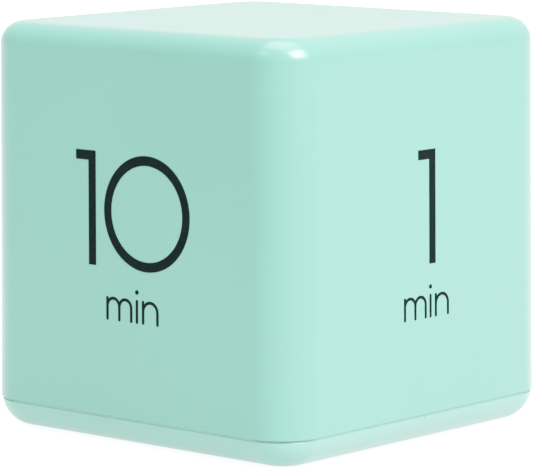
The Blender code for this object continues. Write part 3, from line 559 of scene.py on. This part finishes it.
def arc(centre, radius, start, end, steps):
    """Points along an arc, from the start angle to the end angle in degrees."""
    turns = [math.radians(start + (end - start) * step / steps) for step in range(steps + 1)]
    return [(centre[0] + radius * math.cos(turn), centre[1] + radius * math.sin(turn)) for turn in turns]


def figure_one(left):
    edge = NUMERAL_STROKE / 2
    stem = left + ONE_WIDTH - edge
    flag = NUMERAL_TOP - edge
    return ink_stroke("one", pen_line([(left, flag), (stem, flag), (stem, NUMERAL_BOTTOM)], NUMERAL_STROKE))


def figure_zero(right):
    centre = (right - ZERO_RADIUS, ZERO_HEIGHT)
    ring = arc(centre, ZERO_RADIUS - NUMERAL_STROKE / 2, 0, 360, ZERO_STEPS)[:-1]
    return ink_stroke("zero", pen_line(ring, NUMERAL_STROKE, closed=True), closed=True)


def figure_five(right):
    """A straight bar and stem on a round bowl."""
    edge = NUMERAL_STROKE / 2
    centre = (right - FIVE_RADIUS, ZERO_HEIGHT - ZERO_RADIUS + FIVE_RADIUS)
    bowl = arc(centre, FIVE_RADIUS - edge, *FIVE_BOWL_TURN, BOWL_STEPS)
    bar = NUMERAL_TOP - edge
    corner = (bowl[0][0] + edge, bar)
    bar_and_stem = [(right - FIVE_BAR_SHORT, bar), corner, bowl[0]]
    five = ink_stroke("five", pen_line(bar_and_stem, NUMERAL_STROKE))
    join(five, ink_stroke("bowl", pen_line(bowl, NUMERAL_STROKE)))
    return five


def unit_word():
    """The abbreviation of minutes, in pen lines with round ends."""
    top = UNIT_TOP - UNIT_STROKE / 2
    foot = UNIT_BASELINE + UNIT_STROKE / 2
    strokes = []
    for stems in UNIT_STEMS.values():
        strokes.append([(stems[0], top), (stems[0], foot)])
        for left, right in zip(stems, stems[1:]):
            radius = (right - left) / 2
            arch = arc(((left + right) / 2, top - radius), radius, 180, 0, ARCH_STEPS)
            strokes.append(arch + [(right, foot)])
    pieces = [ink_stroke("stroke", pen_line(points, UNIT_STROKE, round_ends=True)) for points in strokes]
    word = pieces[0]
    dot = (UNIT_STEMS["i"][0], DOT_HEIGHT)
    join(word, *pieces[1:], peg("dot", DOT_RADIUS, -INK_SUNK, INK_THICKNESS, dot, SMALL_ROUND))
    return settle(word)


def onto_side(piece, name, quarter, across=0.0, rise=0.0):
    """Lays a flat print on the side that is so many quarter turns anticlockwise from the front."""
    up = Vector((0, math.sin(DRAFT), math.cos(DRAFT)))
    out = Vector((0, -math.cos(DRAFT), math.sin(DRAFT)))
    foot = Vector((0, -HALF, SEAM)) - SEAM * up
    axes = Matrix((Vector((1, 0, 0)), up, out)).transposed().to_4x4()
    turn = Matrix.Rotation(quarter * math.pi / 2, 4, "Z")
    laid = piece.data.copy()
    laid.transform(turn @ Matrix.Translation(foot) @ axes @ Matrix.Translation((across, rise, 0)))
    return new_piece(name, laid)


def make_numerals():
    """The flat numerals, in the order of the sides they go on, anticlockwise from the front."""
    one = figure_one(MIDDLE_LINE - ONE_WIDTH / 2)
    ten = figure_one(TEN_LEFT)
    join(ten, figure_zero(TEN_RIGHT))
    five = figure_five(MIDDLE_LINE + FIVE_WIDTH / 2)
    half = (ONE_WIDTH + FIGURE_SPACE + FIVE_WIDTH) / 2
    fifteen = figure_one(MIDDLE_LINE - half)
    join(fifteen, settle(figure_five(MIDDLE_LINE + half)))
    return {"ten": settle(ten), "one": settle(one), "five": settle(five), "fifteen": settle(fifteen)}


def make_prints():
    word = unit_word()
    prints = []
    for quarter, (name, numeral) in enumerate(make_numerals().items()):
        prints.append(onto_side(numeral, "print_" + name, quarter, rise=NUMERAL_RISE.get(name, 0)))
        prints.append(onto_side(word, "print_unit_" + name, quarter, across=UNIT_SHIFT.get(name, 0)))
        bpy.data.objects.remove(numeral)
    bpy.data.objects.remove(word)
    return prints


# Materials


class Surface:
    """A Principled material with object coordinates, so that its textures stay put on the piece."""

    def __init__(self, name, roughness, metallic=0.0):
        self.material = bpy.data.materials.new(name)
        self.material.use_nodes = True
        self.tree = self.material.node_tree
        self.shader = self.tree.nodes["Principled BSDF"]
        self.set("Roughness", roughness)
        self.set("Metallic", metallic)
        self.place = self.tree.nodes.new("ShaderNodeTexCoord").outputs["Object"]
        self.height = None

    def put(self, socket, value):
        if isinstance(value, bpy.types.NodeSocket):
            self.tree.links.new(value, socket)
        else:
            socket.default_value = value

    def set(self, name, value):
        self.put(self.shader.inputs[name], value)

    def node(self, kind, **inputs):
        node = self.tree.nodes.new(kind)
        for name, value in inputs.items():
            self.put(node.inputs[name.replace("_", " ")], value)
        return node

    def noise(self, scale, detail=3.0, stretch=(1, 1, 1)):
        place = self.node("ShaderNodeMapping", Vector=self.place, Scale=stretch).outputs["Vector"]
        return self.node("ShaderNodeTexNoise", Vector=place, Scale=scale, Detail=detail).outputs["Fac"]

    def ramp(self, value, stops):
        """Colours along a value, as (position, colour) stops."""
        node = self.node("ShaderNodeValToRGB", Fac=value)
        while len(node.color_ramp.elements) < len(stops):
            node.color_ramp.elements.new(0.5)
        for element, (position, colour) in zip(node.color_ramp.elements, stops):
            element.position = position
            element.color = (*colour, 1)
        return node.outputs["Color"]

    def colour(self, value, stops):
        self.set("Base Color", self.ramp(value, stops))

    def rough(self, value, low, high):
        spread = self.node("ShaderNodeMapRange", Value=value, To_Min=low, To_Max=high)
        self.set("Roughness", spread.outputs["Result"])

    def bump(self, value, depth, strength):
        """Adds relief to what the surface has already."""
        node = self.node("ShaderNodeBump", Height=value, Distance=depth, Strength=strength)
        if self.height:
            self.put(node.inputs["Normal"], self.height)
        self.height = node.outputs["Normal"]
        self.set("Normal", self.height)


def tinted(colour, share):
    return tuple(min(1.0, channel * share) for channel in colour)


def moulded(name, colour, roughness):
    """Glossy moulded plastic: faint flow marks in its colour, a faint ripple and a little polish wear."""
    surface = Surface(name, roughness)
    surface.set("IOR", PLASTIC_IOR)
    flow = surface.noise(scale=38, detail=2.0)
    surface.colour(flow, [(0.25, tinted(colour, 0.975)), (0.75, tinted(colour, 1.02))])
    surface.rough(surface.noise(scale=55, detail=1.0), low=roughness - 0.02, high=roughness + 0.03)
    surface.bump(surface.noise(scale=110, detail=2.0), depth=0.00002, strength=0.35)
    surface.bump(surface.noise(scale=3200, detail=2.0), depth=0.000004, strength=0.4)
    return surface.material


def matte(name, colour, roughness, grain=2600):
    """Spark-textured plastic."""
    surface = Surface(name, roughness)
    surface.colour(surface.noise(scale=150), [(0.3, tinted(colour, 0.85)), (0.7, tinted(colour, 1.15))])
    surface.rough(surface.noise(scale=grain), low=roughness - 0.1, high=roughness + 0.1)
    surface.bump(surface.noise(scale=grain, detail=4.0), depth=0.00002, strength=0.6)
    return surface.material


def metal(name, colour, roughness, stretch=(1, 1, 1)):
    """Plated or drawn metal, with marks drawn out along one axis and slight staining."""
    surface = Surface(name, roughness, metallic=1.0)
    stain = surface.noise(scale=260, detail=4.0)
    surface.colour(stain, [(0.3, tinted(colour, 0.8)), (0.65, colour)])
    marks = surface.noise(scale=1500, stretch=stretch)
    surface.rough(marks, low=roughness - 0.1, high=roughness + 0.15)
    surface.bump(marks, depth=0.000006, strength=0.5)
    return surface.material


def ink_material():
    """Screen print: dark green-black, a little uneven, with the mesh's fine grain."""
    surface = Surface("ink", roughness=0.5)
    surface.set("Specular IOR Level", 0.02)
    surface.colour(surface.noise(scale=900), [(0.3, INK_DARK), (0.7, INK_LIGHT)])
    surface.rough(surface.noise(scale=5000), low=0.36, high=0.5)
    surface.bump(surface.noise(scale=6000, detail=2.0), depth=0.000008, strength=0.5)
    return surface.material


def laminate_material():
    """Green solder mask over copper tracks on a square grid."""
    surface = Surface("laminate", roughness=0.35)
    grid = surface.node(
        "ShaderNodeTexBrick",
        Vector=surface.place,
        Scale=260.0,
        Mortar_Size=0.06,
        Color1=BLACK,
        Color2=QUARTER_GREY,
        Mortar=WHITE,
    )
    tracks = grid.outputs["Color"]
    surface.colour(tracks, [(0.0, MASK_DARK), (0.3, MASK_GREEN), (1.0, MASK_ON_TRACK)])
    surface.bump(tracks, depth=0.00003, strength=0.6)
    surface.rough(surface.noise(scale=700), low=0.28, high=0.42)
    return surface.material


def cell_material(name, node, way):
    """A cell's printed jacket, with a copper band at its positive end: high X if way is 1, low X if -1."""
    surface = Surface(name, roughness=0.3, metallic=0.75)
    x_place = surface.node("ShaderNodeSeparateXYZ", Vector=surface.place).outputs["X"]
    negative, positive = (corner.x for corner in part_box(node)[::way])
    along = surface.node("ShaderNodeMapRange", Value=x_place, From_Min=negative, From_Max=positive)
    stops = [
        (0.0, BARE_CAN),
        (0.018, JACKET_BLACK),
        (0.70, JACKET_GREY),
        (0.705, COPPER),
        (0.955, BRIGHT_COPPER),
        (0.96, BARE_CAN),
    ]
    surface.colour(along.outputs["Result"], stops)
    surface.rough(surface.noise(scale=500), low=0.22, high=0.4)
    surface.bump(surface.noise(scale=400), depth=0.00002, strength=0.4)
    return surface.material


def ceramic_material():
    """The sounder's silvered ceramic: grainy, with paler specks."""
    surface = Surface("ceramic", roughness=0.55)
    specks = surface.noise(scale=1400, detail=5.0)
    surface.colour(specks, [(0.35, SILVERED), (0.65, SILVER_SPECK)])
    surface.rough(specks, low=0.45, high=0.65)
    surface.bump(specks, depth=0.00001, strength=0.6)
    return surface.material


def make_materials():
    """The material of each slot in the record."""
    return {
        "mint_shell": moulded("mint", MINT, roughness=0.27),
        "mint_base": moulded("pale_mint", PALE_MINT, roughness=0.3),
        "cell_jacket": cell_material("cell", "battery_front", way=1),
        "nickel": metal("nickel", NICKEL, roughness=0.28, stretch=(1, 1, 6)),
        "steel": metal("steel", STEEL, roughness=0.3),
        "brass": metal("brass", BRASS, roughness=0.3, stretch=(6, 1, 1)),
        "board_laminate": laminate_material(),
        "epoxy": moulded("epoxy", EPOXY, roughness=0.22),
        "ceramic": ceramic_material(),
        "black_plastic": matte("black_plastic", DARK_PLASTIC, roughness=0.5),
        "phenolic": matte("phenolic", PHENOLIC, roughness=0.55, grain=1400),
        "capacitor_sleeve": moulded("sleeve", SLEEVE_BLUE, roughness=0.3),
        "red_vinyl": moulded("red_vinyl", RED_VINYL, roughness=0.38),
        "black_vinyl": moulded("black_vinyl", BLACK_VINYL, roughness=0.38),
        "print_ink": ink_material(),
    }


def dress(piece, material):
    piece.data.materials.clear()
    piece.data.materials.append(material)


# Scene


def clear_startup():
    """Removes the objects of Blender's startup scene."""
    for name in ("Cube", "Camera", "Light"):
        if name in bpy.data.objects:
            bpy.data.objects.remove(bpy.data.objects[name])


def paper_material():
    """Bright paper that is seen only from its front, so that the object shows from below."""
    surface = Surface("paper", roughness=0.9)
    dark, light = ((grey, grey, grey) for grey in FLOOR_GREYS)
    surface.colour(surface.noise(scale=3), [(0.3, dark), (0.7, light)])
    surface.set("Emission Color", WHITE)
    surface.set("Emission Strength", FLOOR_GLOW)
    surface.set("Specular IOR Level", 0.1)
    from_below = surface.node("ShaderNodeNewGeometry").outputs["Backfacing"]
    clear = surface.node("ShaderNodeBsdfTransparent").outputs["BSDF"]
    sheet = surface.node("ShaderNodeMixShader", Fac=from_below)
    surface.put(sheet.inputs[1], surface.shader.outputs["BSDF"])
    surface.put(sheet.inputs[2], clear)
    surface.put(surface.tree.nodes["Material Output"].inputs["Surface"], sheet.outputs["Shader"])
    return surface.material


def make_floor():
    bm = bmesh.new()
    bmesh.ops.create_circle(bm, cap_ends=True, segments=FLOOR_ROUND, radius=FLOOR_RADIUS)
    bmesh.ops.translate(bm, vec=(0, 0, -FLOOR_DROP), verts=bm.verts)
    floor = new_piece("floor", mesh_of(bm, "floor"))
    if floor.data.polygons[0].normal.z < 0:
        floor.data.flip_normals()
    dress(floor, paper_material())


def direction(azimuth, elevation):
    """From the part towards a viewer at these angles, given in radians."""
    flat = math.cos(elevation)
    return Vector((math.sin(azimuth) * flat, -math.cos(azimuth) * flat, math.sin(elevation)))


def make_light(name, azimuth, elevation, size, power):
    """A square soft box, at angles in degrees seen from the part and turned towards it."""
    away = direction(math.radians(azimuth), math.radians(elevation))
    data = bpy.data.lights.new(name, "AREA")
    data.size = size
    data.energy = power
    light = bpy.data.objects.new(name, data)
    light.location = Vector((0, 0, HEIGHT / 2)) + away * LIGHT_DISTANCE
    light.rotation_mode = "QUATERNION"
    light.rotation_quaternion = away.to_track_quat("Z", "Y")
    bpy.context.scene.collection.objects.link(light)


def make_world():
    world = bpy.data.worlds.new("studio")
    world.use_nodes = True
    background = world.node_tree.nodes["Background"]
    background.inputs["Color"].default_value = WHITE
    background.inputs["Strength"].default_value = WORLD_STRENGTH
    bpy.context.scene.world = world


def make_camera():
    away = direction(CAMERA_AZIMUTH, CAMERA_ELEVATION)
    right = Vector((math.cos(CAMERA_AZIMUTH), math.sin(CAMERA_AZIMUTH), 0))
    up = away.cross(right)
    aim = CAMERA_AIM + CAMERA_RIGHT * right + CAMERA_UP * up
    data = bpy.data.cameras.new("camera")
    data.sensor_width = CAMERA_SENSOR
    data.lens = CAMERA_LENS
    data.clip_start = CAMERA_NEAR
    camera = bpy.data.objects.new("camera", data)
    axes = Matrix((right, up, away)).transposed()
    turned = (axes @ Matrix.Rotation(CAMERA_ROLL, 3, "Z")).to_4x4()
    camera.matrix_world = Matrix.Translation(aim + CAMERA_DISTANCE * away) @ turned
    bpy.context.scene.collection.objects.link(camera)
    bpy.context.scene.camera = camera


def expose():
    """A soft shoulder, as a photograph's highlights have, and a limit on stray bright dots."""
    view = bpy.context.scene.view_settings
    view.view_transform = "Standard"
    view.use_curve_mapping = True
    mapping = view.curve_mapping
    mapping.white_level = (WHITE_LEVEL, WHITE_LEVEL, WHITE_LEVEL)
    curve = mapping.curves[COMBINED_CURVE]
    for light, shown in SHOULDER:
        curve.points.new(light / WHITE_LEVEL, shown)
    mapping.update()
    bpy.context.scene.cycles.sample_clamp_indirect = INDIRECT_CLAMP


def dress_nodes(materials):
    """Gives each CAD node its slot's material and soft edges. The back cell lies the other way round."""
    for row in frame["record"]["subparts"]:
        node = NODES[row["node"]]
        dress(node, materials[row["material_slot"]])
        soften(node, EDGE / 2)
    dress(NODES["battery_back"], cell_material("cell_turned", "battery_back", way=-1))


def add_moulding(piece, node, slot, materials):
    """Puts a finer moulding in place of its CAD node, which then needs no soft edges of its own."""
    NODES[node].modifiers.clear()
    dress(piece, materials[slot])
    soften(piece)
    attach(piece, "timer_body")
    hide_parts(node)


def main():
    clear_startup()
    expose()
    materials = make_materials()
    make_camera()
    make_world()
    make_floor()
    make_light("key", azimuth=86.5, elevation=40, size=0.47, power=17.5)
    make_light("fill", azimuth=-13.7, elevation=43, size=0.25, power=1.2)
    make_light("top", azimuth=10, elevation=88, size=0.7, power=8.0)
    dress_nodes(materials)
    add_moulding(make_shell(), "outer_shell", "mint_shell", materials)
    add_moulding(make_base(), "base_cover", "mint_base", materials)
    for piece in make_prints():
        dress(piece, materials["print_ink"])
        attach(piece, "timer_body")


main()
